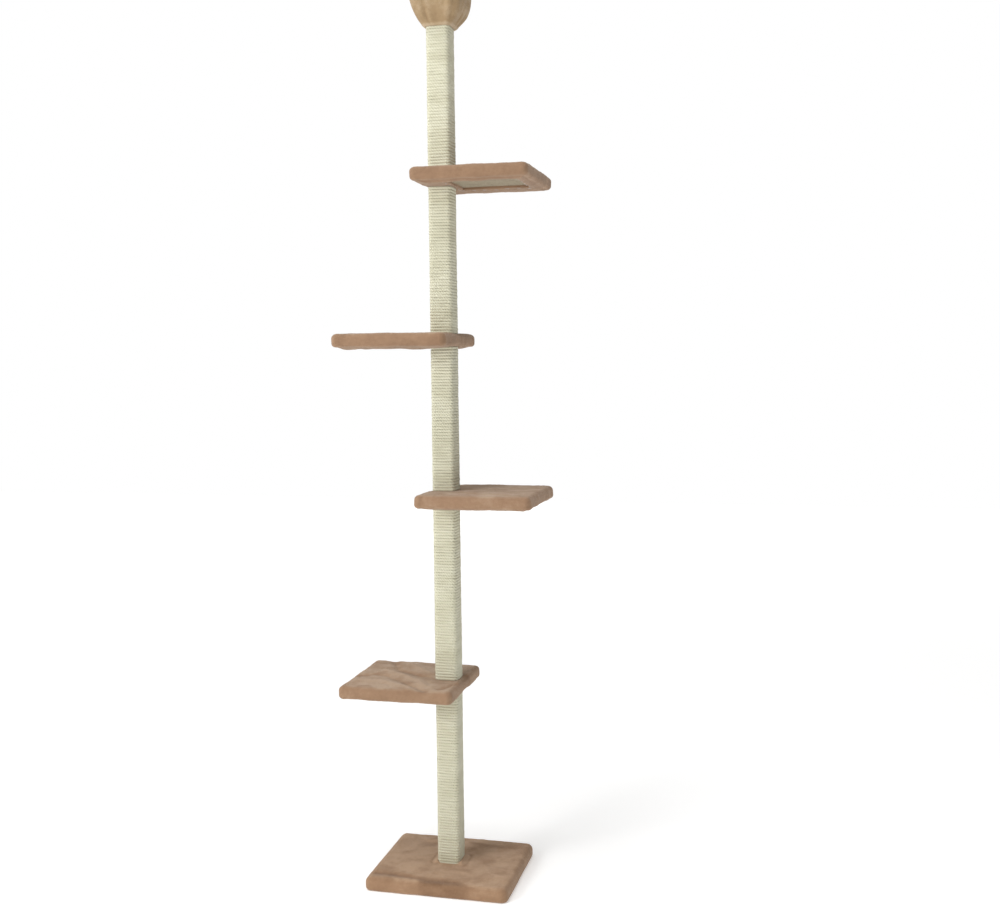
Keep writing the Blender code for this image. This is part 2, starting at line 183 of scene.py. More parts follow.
def piece(name, points, face_groups, material, body):
    """A smooth mesh object from points and groups of faces, turned outwards. It rides on a body,
    or on none."""
    if sum(enclosed_volume(points, faces) for faces in face_groups) < 0:
        face_groups = [faces[:, ::-1] for faces in face_groups]
    mesh = bpy.data.meshes.new(name)
    mesh.from_pydata(points.tolist(), [], [f for faces in face_groups for f in faces.tolist()])
    mesh.shade_smooth()
    mesh.materials.append(material)
    new = bpy.data.objects.new(name, mesh)
    scene.collection.objects.link(new)
    if body:
        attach(new, body)
    return new


def point_attribute(mesh, name, values):
    """One number per point, for a material to read."""
    attribute = mesh.attributes.new(name, "FLOAT", "POINT")
    attribute.data.foreach_set("value", np.asarray(values, np.float32))


print("a grid of 3 by 4 points has", len(grid_faces(3, 4)), "faces")

# %% [markdown]
# ## Soft randomness
# Nothing made of plush and rope is quite even. A lattice of random numbers, blended smoothly
# between its corners, gives a bump of any chosen size anywhere in space. Blender's own noise
# would do for a material, but a shape needs it as numbers, and the same ones every time.

# %% Smooth noise
def noise(points, size, seed):
    """Random numbers from -1 to 1 on the corners of cubes of a size, blended across each cube
    with the curve 3t^2 - 2t^3. A corner's number is its place, scrambled by large factors and by
    shifting its bits."""
    size = np.broadcast_to(size, (3,)).astype(float)
    where = points / size
    low = np.floor(where).astype(np.int64)
    part = where - low
    part = part * part * (3 - 2 * part)
    total = np.zeros(len(points))
    for corner in range(8):
        step = np.array([corner & 1, (corner >> 1) & 1, (corner >> 2) & 1])
        cell = (low + step).astype(np.uint64)
        mixed = (cell[:, 0] * np.uint64(73856093) ^ cell[:, 1] * np.uint64(19349663)
                 ^ cell[:, 2] * np.uint64(83492791) ^ np.uint64(seed * 2654435761))
        mixed = (mixed ^ (mixed >> np.uint64(13))) * np.uint64(1274126177)
        mixed = mixed ^ (mixed >> np.uint64(16))
        value = (mixed & np.uint64(65535)).astype(float) / 32767.5 - 1
        share = np.where(step, part, 1 - part).prod(axis=1)
        total += value * share
    return total


def smooth_step(value, low, high):
    """0 up to low, 1 from high, and 3t^2 - 2t^3 between them."""
    t = np.clip((value - low) / (high - low), 0, 1)
    return t * t * (3 - 2 * t)


sample = noise(np.random.default_rng(1).uniform(-1, 1, (4000, 3)), 0.05, 3)
print("noise runs from", sample.min().round(2), "to", sample.max().round(2))

# %% [markdown]
# ## Building a material
# A material is a small network of nodes. It could be wired by hand in the editor. These helpers
# take each node as one short line instead: its kind, its settings and what it reads.

# %% Material helpers
def finish(name, colour, roughness, **sockets):
    """A new material with its plain values set on the shader's own sockets."""
    made = bpy.data.materials.new(name)
    made.use_nodes = True
    shader = made.node_tree.nodes["Principled BSDF"]
    shader.inputs["Base Color"].default_value = (*colour, 1.0)
    shader.inputs["Roughness"].default_value = roughness
    for socket, number in sockets.items():
        shader.inputs[socket.replace("_", " ")].default_value = number
    made.diffuse_color = (*colour, 1.0)
    return made


def node(made, kind, settings=None, **links):
    """A node of a kind. Each link is an output socket or a plain value, for the input of that
    name, or of that number where the name is _0, _1 or _2."""
    new = made.node_tree.nodes.new("ShaderNode" + kind)
    for key, value in (settings or {}).items():
        setattr(new, key, value)
    for key, value in links.items():
        by_number = key[1:].isdigit()
        socket = new.inputs[int(key[1:]) if by_number else key.replace("_", " ")]
        if isinstance(value, bpy.types.NodeSocket):
            made.node_tree.links.new(value, socket)
        else:
            socket.default_value = value
    return new


def ramp(made, factor, *stops):
    """Colours or greys at places from 0 to 1, blended between."""
    new = node(made, "ValToRGB", Fac=factor)
    elements = new.color_ramp.elements
    for _ in range(len(stops) - 2):
        elements.new(0.5)
    for element, (position, colour) in zip(elements, stops):
        element.position = position
        element.color = (*colour, 1.0) if isinstance(colour, tuple) else (colour,) * 3 + (1.0,)
    return new.outputs["Color"]


def scaled_sum(made, reading, scale, base):
    """The output reading x scale + base."""
    return node(made, "Math", {"operation": "MULTIPLY_ADD"},
                _0=reading, _1=scale, _2=base).outputs["Value"]


def set_input(made, name, output):
    """Link an output to the shader's input of that name."""
    shader = made.node_tree.nodes["Principled BSDF"]
    made.node_tree.links.new(output, shader.inputs[name])


def bump(made, height, strength, distance):
    """Small relief from a height, given to the shader."""
    new = node(made, "Bump", Height=height, Strength=strength, Distance=distance)
    set_input(made, "Normal", new.outputs["Normal"])


def own_place(made, scale=(1.0, 1.0, 1.0)):
    """Object coordinates, stretched by a scale."""
    here = node(made, "TexCoord").outputs["Object"]
    return node(made, "Mapping", Vector=here, Scale=scale).outputs["Vector"]


print("materials so far", [made.name for made in bpy.data.materials])

# %% [markdown]
# ### The floor
# Lamplight fades with distance, and a plain floor would turn grey and end in a horizon. So this
# one glows by itself, by glow + gain x distance^2 from the tree. Beside the tree that is too weak
# to wash out the soft shadow, and far off the floor is as white as the surround.

# %% The floor
FLOOR_HALF = 9.0
FLOOR_GLOW, FLOOR_GLOW_GAIN = 0.290, 0.0075

paper = finish("pale_floor", (0.97, 0.97, 0.965), 0.9, Emission_Color=WHITE)
here = node(paper, "TexCoord").outputs["Object"]
squared = node(paper, "VectorMath", {"operation": "DOT_PRODUCT"}, _0=here, _1=here).outputs["Value"]
set_input(paper, "Emission Strength", scaled_sum(paper, squared, FLOOR_GLOW_GAIN, FLOOR_GLOW))
floor_mesh = bpy.data.meshes.new("floor")
corners = [(x * FLOOR_HALF, y * FLOOR_HALF, 0) for x, y in ((-1, -1), (1, -1), (1, 1), (-1, 1))]
floor_mesh.from_pydata(corners, [], [(0, 1, 2, 3)])
floor_mesh.materials.append(paper)
floor = bpy.data.objects.new("floor", floor_mesh)
scene.collection.objects.link(floor)
print("floor", 2 * FLOOR_HALF, "m square")

# %% [markdown]
# ## Sisal rope
# The post's lengths are square paper tubes wound with sisal rope, 7.5 mm thick. Rings stacked on
# the tube would look much the same, but the real winding is one rope, so this is one too. The
# winder lays each turn flat round the tube and steps up to the next turn on the back face. So
# the path of the rope is a rounded square, and its height rises in steps: level for most of a
# turn, then a smooth rise of one rope's width. Pulled tight, the rope flattens against the tube,
# and its turns press on each other, so the shape carried along that path is a circle pressed
# towards a square, |cos|^n + |sin|^n = 1 with n above 2, and 8 mm wide.

# %% The rope's path
def rounded_square(turns, half, corner):
    """Points and outward directions round a square of a half width with rounded corners. One
    turn starts in the middle of the back face and runs at an even speed: a straight stretch, a
    quarter circle, a straight stretch, and the same again turned by a quarter."""
    straight = half - corner
    quarter = 2 * straight + corner * math.pi / 2
    along = (turns % 1.0) * 4 * quarter
    side = np.minimum(np.floor(along / quarter), 3)
    along = along - side * quarter
    angle = np.clip((along - straight) / corner, 0, math.pi / 2)
    past = np.clip(along - straight - corner * math.pi / 2, 0, None)
    x = -np.minimum(along, straight) - corner * np.sin(angle)
    y = straight + corner * np.cos(angle) - past
    direction = np.stack([-np.sin(angle), np.cos(angle)], -1)
    point = np.stack([x, y], -1)
    c, s = np.cos(side * math.pi / 2), np.sin(side * math.pi / 2)
    spin = lambda v: np.stack([c * v[:, 0] - s * v[:, 1], s * v[:, 0] + c * v[:, 1]], -1)
    return spin(point), spin(direction), 4 * quarter


ROPE = 0.0075
ROPE_PRESSED_TO = 0.0081
TUBE_CORNER = 0.0023
GLUE = 0.0003
CORE_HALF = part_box("section_1_core")[1][0] + GLUE
_, _, once_round = rounded_square(np.zeros(1), CORE_HALF + ROPE / 2, TUBE_CORNER + ROPE / 2)
print("one turn of rope is", round(once_round, 4), "m long")

# %% [markdown]
# ### One length of rope
# A rope that is laid by hand strays. Along its path it rises and falls, presses in and stands off,
# and is fatter or thinner by turns, each by its own small amount and over its own distance.

# %% A wound rope
POINTS_A_TURN = 44
POINTS_ROUND = 8
JOG = 0.10
PRESSED = 7.0
UP_AND_DOWN = (0.00028, 0.021)
IN_AND_OUT = (0.00035, 0.016)
LOOSE_TURNS = (0.0004, 0.05)
LOOSE_STRETCH = 0.9
FAT_AND_THIN = (0.045, 0.012)
FATNESS = 1.015


def wander(along, spacing, seed):
    """Random numbers every so far along a line, joined smoothly, from -1 to 1."""
    zero = np.zeros_like(along)
    return noise(np.stack([along, zero, zero], -1), (spacing, 1.0, 1.0), seed)


def stray(along, most, spacing, seed):
    """The most that something strays, times a wandering number."""
    return most * wander(along, spacing, seed)


def rope_path(low, high, count, seed):
    """The rope's centre, its outward direction, how far along and how fat it is there.
    Height = low + pitch (1/2 + whole turns + step), where the step runs from 0 to 1 over the
    last tenth of a turn."""
    pitch = (high - low) / count
    turns = np.linspace(0.0, count - JOG, int((count - JOG) * POINTS_A_TURN) + 1)
    flat, outward, round_post = rounded_square(turns, CORE_HALF + ROPE / 2, TUBE_CORNER + ROPE / 2)
    along = turns * round_post
    height = low + pitch * (0.5 + np.floor(turns) + smooth_step(turns % 1.0, 1 - JOG, 1.0))
    height += stray(along, *UP_AND_DOWN, seed + 2)
    loose = 0.5 + 0.5 * wander(along, LOOSE_STRETCH, seed + 1)
    off = stray(along, *IN_AND_OUT, seed + 3) + loose * stray(along, *LOOSE_TURNS, seed + 4)
    fat = FATNESS + stray(along, *FAT_AND_THIN, seed + 5)
    centre = np.column_stack([flat + outward * off[:, None], height])
    return centre, np.column_stack([outward, np.zeros(len(turns))]), along, fat


def wound_rope(name, low, high, seed):
    """A pressed circle carried along the path: centre + fat (outward thickness/2 f cos + up
    pitch/2 f sin), with f = (|cos|^n + |sin|^n)^(-1/n), and a point in the middle of each end."""
    count = round((high - low) / ROPE_PRESSED_TO)
    centre, outward, along, fat = rope_path(low, high, count, seed)
    angle = np.arange(POINTS_ROUND) / POINTS_ROUND * 2 * math.pi
    full = (np.abs(np.cos(angle)) ** PRESSED + np.abs(np.sin(angle)) ** PRESSED) ** (-1 / PRESSED)
    across, up = ROPE / 2 * full * np.cos(angle), (high - low) / count / 2 * full * np.sin(angle)
    ring = (across[None, :, None] * outward[:, None, :]
            + up[None, :, None] * np.array([0.0, 0.0, 1.0]))
    points = centre[:, None, :] + fat[:, None, None] * ring
    points = np.vstack([points.reshape(-1, 3), centre[0], centre[-1]])
    rows = len(along)
    faces = grid_faces(rows, POINTS_ROUND, wrap_columns=True)
    first = np.arange(POINTS_ROUND)
    last = first + (rows - 1) * POINTS_ROUND
    start_middle = np.full(POINTS_ROUND, rows * POINTS_ROUND)
    caps = np.vstack([np.column_stack([np.roll(first, -1), first, start_middle]),
                      np.column_stack([last, np.roll(last, -1), start_middle + 1])])
    rope = piece(name, points, [faces, caps], sisal, "root")
    from_hidden = (POINTS_ROUND // 2 - first) % POINTS_ROUND
    turned = np.tile(0.5 - from_hidden / POINTS_ROUND, rows)
    lay = np.repeat(along, POINTS_ROUND)
    point_attribute(rope.data, "along", np.concatenate([lay, along[[0, -1]]]))
    point_attribute(rope.data, "turned", np.concatenate([turned, [0.0, 0.0]]))
    length = round(float(along[-1]), 1)
    print(name, count, "turns,", length, "m of rope,", len(faces) * 2, "triangles")
    return rope

# %% [markdown]
# ### The rope's finish
# Sisal is three strands of coarse pale fibre, twisted together. Modelled strands would need ten
# times the points, for a twist that is only a millimetre deep, so the finish draws it. Each point
# of the rope knows how far along it is and how far round it, from -1/2 to 1/2 with the join on
# the hidden side. The sine of 2 pi (along / spacing + 3 round) is then a pattern of three strands
# that wind round the rope. It gives them relief, and in the colour painted shade between the
# strands and a painted highlight on them, with fibres and paler and darker patches over it.

# %% Twisted sisal
STRANDS = 3
STRAND_SPACING = 0.0072
PATCH_SHARE, STREAK_SHARE, STRAND_SHADE_SHARE = 0.40, 0.30, 0.075
STRAND_RELIEF = 0.75

sisal = finish("sisal_rope", (0.66, 0.62, 0.47), 0.9, Sheen_Weight=0.12, Sheen_Roughness=0.6)
fibre = node(sisal, "TexNoise", Vector=own_place(sisal, (60.0, 60.0, 900.0)),
             Scale=6.0, Detail=4.0, Roughness=0.65).outputs["Fac"]
patch = node(sisal, "TexNoise", Vector=own_place(sisal, (1.0, 1.0, 3.0)),
             Scale=9.0, Detail=3.0).outputs["Fac"]
along_rope = node(sisal, "Attribute", {"attribute_name": "along"}).outputs["Fac"]
stretch = node(sisal, "CombineXYZ", X=along_rope).outputs["Vector"]
streak = node(sisal, "TexNoise", Vector=stretch, Scale=22.0, Detail=2.0).outputs["Fac"]
mixed = scaled_sum(sisal, patch, PATCH_SHARE, fibre)
mixed = scaled_sum(sisal, streak, STREAK_SHARE, mixed)
round_rope = node(sisal, "Attribute", {"attribute_name": "turned"}).outputs["Fac"]
twist = node(sisal, "Math", {"operation": "MULTIPLY"},
             _0=round_rope, _1=2 * math.pi * STRANDS).outputs["Value"]
twist = scaled_sum(sisal, along_rope, 2 * math.pi / STRAND_SPACING, twist)
strand = node(sisal, "Math", {"operation": "SINE"}, _0=twist).outputs["Value"]
# Painted shade between the strands and painted highlight on them.
mixed = scaled_sum(sisal, strand, STRAND_SHADE_SHARE, mixed)
set_input(sisal, "Base Color", ramp(
    sisal, mixed,
    (0.55, (0.50, 0.475, 0.335)), (0.84, (0.665, 0.645, 0.480)), (1.0, (0.77, 0.755, 0.60))))
bump(sisal, scaled_sum(sisal, strand, STRAND_RELIEF, fibre), 0.55, 0.0011)
print("sisal has", len(sisal.node_tree.nodes), "nodes")

# %% [markdown]
# ### Winding
# Each length of post is wound on its own before the tree is put together, and the rope's ends are
# glued down. So each length gets its own rope, from the foot of its sleeve to the head, and stands
# for the plain sleeve that came with the tree.

# %% Wind the five lengths
for number in range(1, 6):
    sleeve = f"section_{number}_sisal"
    low_corner, high_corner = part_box(sleeve)
    rope = wound_rope(f"rope_{number}", low_corner[2], high_corner[2], 100 * number)
    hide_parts(sleeve)

# %% [markdown]
# ## Plush over boards
# The base and the platforms are boards wrapped in short plush that is folded under and stapled,
# so a border of plush frames the bare board underneath. A simulated sheet could be drawn over the
# board, but tight cloth only takes the board's shape, so that shape is built directly. The top is
# a grid with rounded corners. A band of profile steps runs from the top's rim round the side,
# under the board, to the edge of the border, and up to the board.

# %% A grid with rounded corners
CELL = 0.0032
CORNER_STEPS = 5


def spread(half, corner):
    """Places from -half to half: even steps of about a cell, and a few in each corner."""
    straight = np.linspace(corner - half, half - corner, round(2 * (half - corner) / CELL) + 1)
    bend = np.linspace(0, corner, CORNER_STEPS + 1)[1:]
    return np.concatenate([corner - half - bend[::-1], straight, half - corner + bend])


def rounded_grid(half_x, half_y, corner):
    """A grid filling a rectangle with rounded corners. In a corner's square, the point (p, q)
    moves to (p sqrt(1 - q^2/2), q sqrt(1 - p^2/2)), which fills a quarter of a circle."""
    x, y = np.meshgrid(spread(half_x, corner), spread(half_y, corner), indexing="ij")
    p = np.clip(np.abs(x) - (half_x - corner), 0, None) / corner
    q = np.clip(np.abs(y) - (half_y - corner), 0, None) / corner
    moved_x = np.where(p > 0, half_x - corner + corner * p * np.sqrt(1 - q ** 2 / 2), np.abs(x))
    moved_y = np.where(q > 0, half_y - corner + corner * q * np.sqrt(1 - p ** 2 / 2), np.abs(y))
    return np.sign(x) * moved_x, np.sign(y) * moved_y


def rim(rows, columns):
    """The grid's outer points in order, once round."""
    index = np.arange(rows * columns).reshape(rows, columns)
    return np.concatenate([index[:-1, 0], index[-1, :-1], index[:0:-1, -1], index[0, :0:-1]])


print("a platform's top has", rounded_grid(0.16, 0.16, 0.016)[0].shape, "points")

# %% [markdown]
# ### Round the side and underneath
# The cloth rolls over the board's edge, drops, rolls in below and runs flat to where it was cut.
# The cut was made by eye, so the border's inner edge wanders by a few millimetres.

# %% The shape of a covered board
CORNER, EDGE, FALL, EDGE_BELOW = 0.016, 0.0145, 0.0120, 0.0095
BORDER_STEPS = 17
CUT_WANDER, CUT_WANDER_SIZE = 0.0035, 0.035
CUT_THICKNESS = 0.003
INTO_BOARD = 0.008


def side_profile(thick):
    """How far out and how far down the cloth goes: a quarter of an ellipse, EDGE wide and FALL
    high, a straight drop, and a quarter of an ellipse back in below."""
    bend = np.linspace(0, math.pi / 2, 6)[1:]
    drop = np.linspace(FALL, thick - EDGE_BELOW, 5)[1:]
    below = thick - EDGE_BELOW * (1 - np.sin(bend))
    reach = np.concatenate([EDGE * np.sin(bend), np.full(len(drop), EDGE), EDGE * np.cos(bend)])
    return reach, np.concatenate([FALL * (1 - np.cos(bend)), drop, below])


def cut_edge(across_x, across_y, half, hems, centre, seed):
    """The border's inner edge: the rim's own places from 0 to 1, fitted into the rectangle that
    the border's widths on the left, right, front and back leave, and wandering a little."""
    left, right, front, back = hems
    cut = np.stack([across_x * (2 * half[0] - left - right) - half[0] + left,
                    across_y * (2 * half[1] - front - back) - half[1] + front,
                    np.full(len(across_x), -half[2])], -1)
    for axis in (0, 1):
        cut[:, axis] += CUT_WANDER * noise(cut + centre, CUT_WANDER_SIZE, seed + axis)
    return cut


def covered_board(low, high, hems, seed):
    """Points and faces of the plush round a board that fills a box, and each point's share of the
    way across the border underneath. The side follows side_profile, out from the top's rim. The
    border runs straight to the cut edge, and from there the surface goes up into the board."""
    low, high = np.array(low), np.array(high)
    centre, half = (low + high) / 2, (high - low) / 2
    top_x, top_y = rounded_grid(half[0] - EDGE, half[1] - EDGE, CORNER - EDGE)
    around = rim(*top_x.shape)
    rim_x, rim_y = top_x.ravel()[around], top_y.ravel()[around]
    off = np.stack([rim_x - np.clip(rim_x, CORNER - half[0], half[0] - CORNER),
                    rim_y - np.clip(rim_y, CORNER - half[1], half[1] - CORNER)])
    out_x, out_y = off / np.hypot(*off)
    flat = np.ones(len(around))
    band = [np.stack([rim_x + out_x * r, rim_y + out_y * r, flat * (half[2] - d)], -1)
            for r, d in zip(*side_profile(2 * half[2]))]
    share = [np.zeros(len(band) * len(around))]
    cut = cut_edge((rim_x / (half[0] - EDGE) + 1) / 2, (rim_y / (half[1] - EDGE) + 1) / 2,
                   half, hems, centre, seed)
    start = band[-1]
    for part in np.linspace(0, 1, BORDER_STEPS + 1)[1:]:
        band.append(start * (1 - part) + cut * part)
        share.append(part * flat)
    band += [cut + [0, 0, CUT_THICKNESS], cut + [0, 0, INTO_BOARD]]
    middle = np.array([*cut[:, :2].mean(axis=0), INTO_BOARD - half[2]])
    band += [middle + (band[-1] - middle) * part for part in (0.66, 0.33)]
    share.append(np.zeros(4 * len(around) + 1))
    top = np.stack([top_x, top_y, np.full(top_x.shape, half[2])], -1).reshape(-1, 3)
    points = np.vstack([top, *band, middle]) + centre
    ring = [around] + [len(top) + k * len(around) + np.arange(len(around))
                       for k in range(len(band))]
    strips = [np.column_stack([a, b, np.roll(b, -1), np.roll(a, -1)])
              for a, b in zip(ring, ring[1:])]
    quads = np.vstack([grid_faces(*top_x.shape)[:, ::-1], *strips])
    centre_point = np.full(len(around), len(points) - 1)
    fan = np.column_stack([ring[-1], centre_point, np.roll(ring[-1], -1)])
    return points, [quads, fan], np.concatenate([np.zeros(len(top)), *share])


def normals(points, face_groups):
    """Each point's outward direction: the sum of its faces' own directions, made one long."""
    total = np.zeros_like(points)
    for faces in face_groups:
        one_way = points[faces[:, 1]] - points[faces[:, -1]]
        other_way = points[faces[:, 2]] - points[faces[:, 0]]
        across = np.cross(one_way, other_way)
        for corner in range(faces.shape[1]):
            np.add.at(total, faces[:, corner], across)
    return total / np.maximum(np.linalg.norm(total, axis=1, keepdims=True), 1e-12)


side_out, side_down = side_profile(0.030)
print("the side goes", side_out.max(), "m out and", side_down.max(), "m down")

# %% [markdown]
# ### The plush itself
# Short plush is dull and dense, with a soft sheen where it is seen edge on. Its pile could be
# grown as millions of hairs, which only pays off from very near. So the colour follows a number
# per point that says which way the pile leans: pile that leans towards the eye looks dark, and
# pile brushed away from it looks light. The same number carries painted light and shade too:
# lighter tops, painted highlights on rises and ridges, and painted shade in grooves and underneath.
# Tufts a few millimetres wide break it up and give it relief. The base is a slightly warmer and
# stronger brown than the platforms, and is painted lighter to make up for the weaker light on it.

# %% The plush finish
CLUMP_SHARE, TUFT_SHARE = 0.25, 0.25


def make_plush(name, dark, middle, light):
    """A plush in three tones, chosen by pile lean and painted shading, with tufts and clumps mixed
    in.
    """
    made = finish(name, middle, 0.95, Sheen_Weight=0.30, Sheen_Roughness=0.45,
                  Sheen_Tint=(1.0, 0.90, 0.80, 1.0), Specular_IOR_Level=0.2)
    # The attribute holds the pile's lean together with painted light and shade.
    nap_and_painted_shading = node(made, "Attribute", {"attribute_name": "nap_and_painted_shading"}).outputs["Fac"]
    tuft = node(made, "TexNoise", Vector=own_place(made),
                Scale=420.0, Detail=3.0, Roughness=0.6).outputs["Fac"]
    clump = node(made, "TexNoise", Vector=own_place(made), Scale=110.0, Detail=2.0).outputs["Fac"]
    tone = scaled_sum(made, clump, CLUMP_SHARE, nap_and_painted_shading)
    tone = scaled_sum(made, tuft, TUFT_SHARE, tone)
    set_input(made, "Base Color", ramp(made, tone, (0.35, dark), (0.74, middle), (1.0, light)))
    bump(made, tuft, 0.6, 0.003)
    return made


plush = make_plush("plush", dark=(0.215, 0.125, 0.073),
                   middle=(0.335, 0.208, 0.127), light=(0.450, 0.320, 0.222))
# A warmer, stronger brown for the base, also painted lighter to make up for the weaker light on its
# top.
base_plush = make_plush("base_plush", dark=(0.230, 0.130, 0.072),
                        middle=(0.365, 0.222, 0.131), light=(0.505, 0.335, 0.215))
print("plush finishes", plush.name, "and", base_plush.name)

# %% [markdown]
# ### Bumps, wrinkles and strokes
# The pile swells softly everywhere, and loose cloth on a board is drawn into wrinkles. Both could
# be sculpted. Here a wrinkle is a bump or a groove along a bent line, so it can be put where the
# real one is, and a stroke where the pile was brushed is the same thing in colour.

# %% Bumps, wrinkles and the room round the post
def lean(points, seed, much):
    """How the pile leans, from 0 dark to 1 light: broad patches bent by other noise, so that
    they run together in strokes."""
    bent = points + 0.018 * np.stack([noise(points, 0.05, seed + i) for i in range(3)], -1)
    patches = 0.20 * noise(bent, (0.05, 0.03, 0.03), seed + 5) + 0.10 * noise(bent, 0.016, seed + 6)
    return 0.5 + much * patches


def swelling(points, seed):
    """Soft bumps of three sizes, from about -1 to 1."""
    return (0.55 * noise(points, 0.045, seed) + 0.30 * noise(points, 0.018, seed + 1)
            + 0.20 * noise(points, 0.0075, seed + 2))


def along_line(points, line, width, seed):
    """1 on a bent line seen from above and exp(-(distance / width)^2) beside it, with the
    distance to the nearest place on the line and the line itself wandering a little."""
    line = np.array(line)
    flat = points[:, :2] + 0.005 * np.stack([noise(points, 0.03, seed + i) for i in range(2)], -1)
    nearest = np.full(len(points), np.inf)
    for start, end in zip(line, line[1:]):
        run = end - start
        share = np.clip((flat - start) @ run / (run @ run), 0, 1)
        nearest = np.minimum(nearest, np.hypot(*(flat - start - share[:, None] * run).T))
    return np.exp(-(nearest / width) ** 2)


POST_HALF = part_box("section_1_sisal")[1][0]
POST_CORNER = 0.0098


def beyond_post(points):
    """How far each point is outside the post's rounded square, less than 0 inside it."""
    off = np.abs(points[:, :2]) - (POST_HALF - POST_CORNER)
    return np.hypot(*np.clip(off, 0, None).T) + np.minimum(off.max(axis=1), 0) - POST_CORNER


print("the post is", 2 * round(POST_HALF, 4), "m wide over the rope")

# %% [markdown]
# ### The base
# The post stands in a pocket pressed into the base, and the cloth rises softly against it on two
# sides. That rise is given a painted highlight, and a ring round its foot painted shade, and the
# whole top is painted lighter than the sides. The pile on top has been stroked this way and that.
# That leaves darker streaks, and the longest runs along the front edge, where the cloth is pulled
# in a little too.

# %% Shape the base cover
HEM = 0.042
POCKET_FLOOR = 0.0264
BASE_LOFT, BASE_SWELL = 0.0042, 0.0018
TOP_FROM, TOP_TO = 0.030, 0.0335
RISE_ROUND_POST, RISE_BESIDE_POST = 0.0015, 0.0060
BASE_STROKES = [
    ([(-0.175, -0.134), (-0.09, -0.143), (-0.03, -0.152), (0.03, -0.150), (0.09, -0.172)],
     0.0135, 21),
    ([(-0.03, -0.165), (0.03, -0.160), (0.08, -0.172)], 0.016, 23),
    ([(-0.11, 0.10), (-0.075, 0.095), (-0.05, 0.12)], 0.012, 25),
    ([(0.03, 0.130), (0.09, 0.115), (0.17, 0.12)], 0.012, 27),
]

low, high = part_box("base_cover")
points, groups, _ = covered_board(low, high, (HEM,) * 4, 7)
out = normals(points, groups)
on_top = smooth_step(points[:, 2], TOP_FROM, TOP_TO)
away = beyond_post(points)
front, deep, back, right = (along_line(points, *stroke) for stroke in BASE_STROKES)
height = BASE_SWELL * swelling(points, 11) * (0.6 + 0.4 * on_top)
height += BASE_LOFT * (points[:, 2] > 0.002) - on_top * (0.0025 * front + 0.0012 * back)
points = points + out * height[:, None]
points[:, 2] = np.maximum(points[:, 2], 0.0)
beside = smooth_step(np.abs(points[:, 0]) - np.abs(points[:, 1]), -0.012, 0.010)
near_post = np.exp(-(np.clip(away, 0, None) / 0.010) ** 2)
points[:, 2] += on_top * (RISE_ROUND_POST + RISE_BESIDE_POST * beside) * near_post
sunk = POCKET_FLOOR + (points[:, 2] - POCKET_FLOOR) * smooth_step(away, -0.006, -0.001)
points[:, 2] = np.where(on_top > 0.5, sunk, points[:, 2])
print("base cover", len(points), "points,", points[:, 2].max().round(4), "m high")

# %% Make the base cover
base_cover = piece("plush_base_cover", points, groups, base_plush, "root")
# Painted light: the top is made lighter than the sides.
value = lean(points, 31, 0.6 + 0.4 * on_top) - 0.05 + 0.20 * on_top
value -= on_top * (0.40 * front + 0.16 * back + 0.16 * right) + 0.24 * deep
# Painted highlight on the rise beside the post, and painted shade in a ring round its foot.
value += 0.30 * on_top * beside * np.exp(-((away - 0.006) / 0.006) ** 2)
value -= 0.22 * on_top * beside * np.exp(-((away - 0.019) / 0.004) ** 2)
point_attribute(base_cover.data, "nap_and_painted_shading", value)
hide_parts("base_cover")
print("the pile leans from", value.min().round(2), "to", value.max().round(2))

# %% [markdown]
# ### The platforms
# All four platforms are one part, turned about the post, so the wide border comes to the front on
# the left and to the back on the right. The cloth stays flat where the post's lengths press on it
# and turn over it. Beyond that it is drawn into a few wrinkles that run out from the post, each
# here a line, a height (a depth where it is below 0) and a width. The lowest platform is used
# most, so its cloth is the most wrinkled and bags a little on the right. The pile on the upper
# two is a little darker, and underneath the cloth hangs down a little. The tops are painted
# lighter, the wrinkles get painted highlights on their ridges and painted shade in their grooves,
# and the border underneath is painted darker as shade.

# %% The platforms' wrinkles
WRINKLES = {
    1: [([(-0.265, -0.030), (-0.215, 0.000), (-0.143, -0.040), (-0.083, -0.102), (-0.02, -0.150)],
         -0.0046, 0.0125),
        ([(-0.245, -0.085), (-0.180, -0.072), (-0.125, -0.105), (-0.070, -0.142)], 0.0035, 0.014),
        ([(-0.200, 0.035), (-0.130, -0.004), (-0.072, -0.058), (-0.040, -0.095)], 0.0040, 0.013),
        ([(-0.216, 0.150), (-0.171, 0.061), (-0.126, 0.030), (-0.087, 0.005), (-0.05, -0.012)],
         -0.0042, 0.0115),
        ([(-0.150, 0.125), (-0.105, 0.070), (-0.060, 0.030)], 0.0030, 0.016),
        ([(0.010, -0.130), (0.040, -0.060)], -0.0040, 0.007)],
    2: [([(0.060, -0.050), (0.140, -0.100), (0.230, -0.130)], 0.0025, 0.012),
        ([(0.070, 0.020), (0.160, 0.060), (0.250, 0.070)], -0.0025, 0.010),
        ([(0.050, 0.070), (0.120, 0.130)], 0.0025, 0.012)],
    3: [([(-0.060, -0.040), (-0.150, -0.090), (-0.240, -0.100)], 0.0025, 0.013),
        ([(-0.060, 0.040), (-0.160, 0.080)], -0.0030, 0.010),
        ([(-0.090, -0.010), (-0.220, 0.030)], 0.0025, 0.014)],
    4: [([(0.060, 0.040), (0.150, 0.090), (0.230, 0.100)], 0.0030, 0.013),
        ([(0.070, -0.030), (0.170, -0.070), (0.250, -0.060)], -0.0025, 0.010)],
}
UPPER_TWO_DARKER = {1: 0.0, 2: 0.0, 3: -0.08, 4: -0.08}
BAGGY = {1: 0.0040, 2: 0.0, 3: 0.0, 4: 0.0}
print("wrinkles", [len(lines) for lines in WRINKLES.values()])

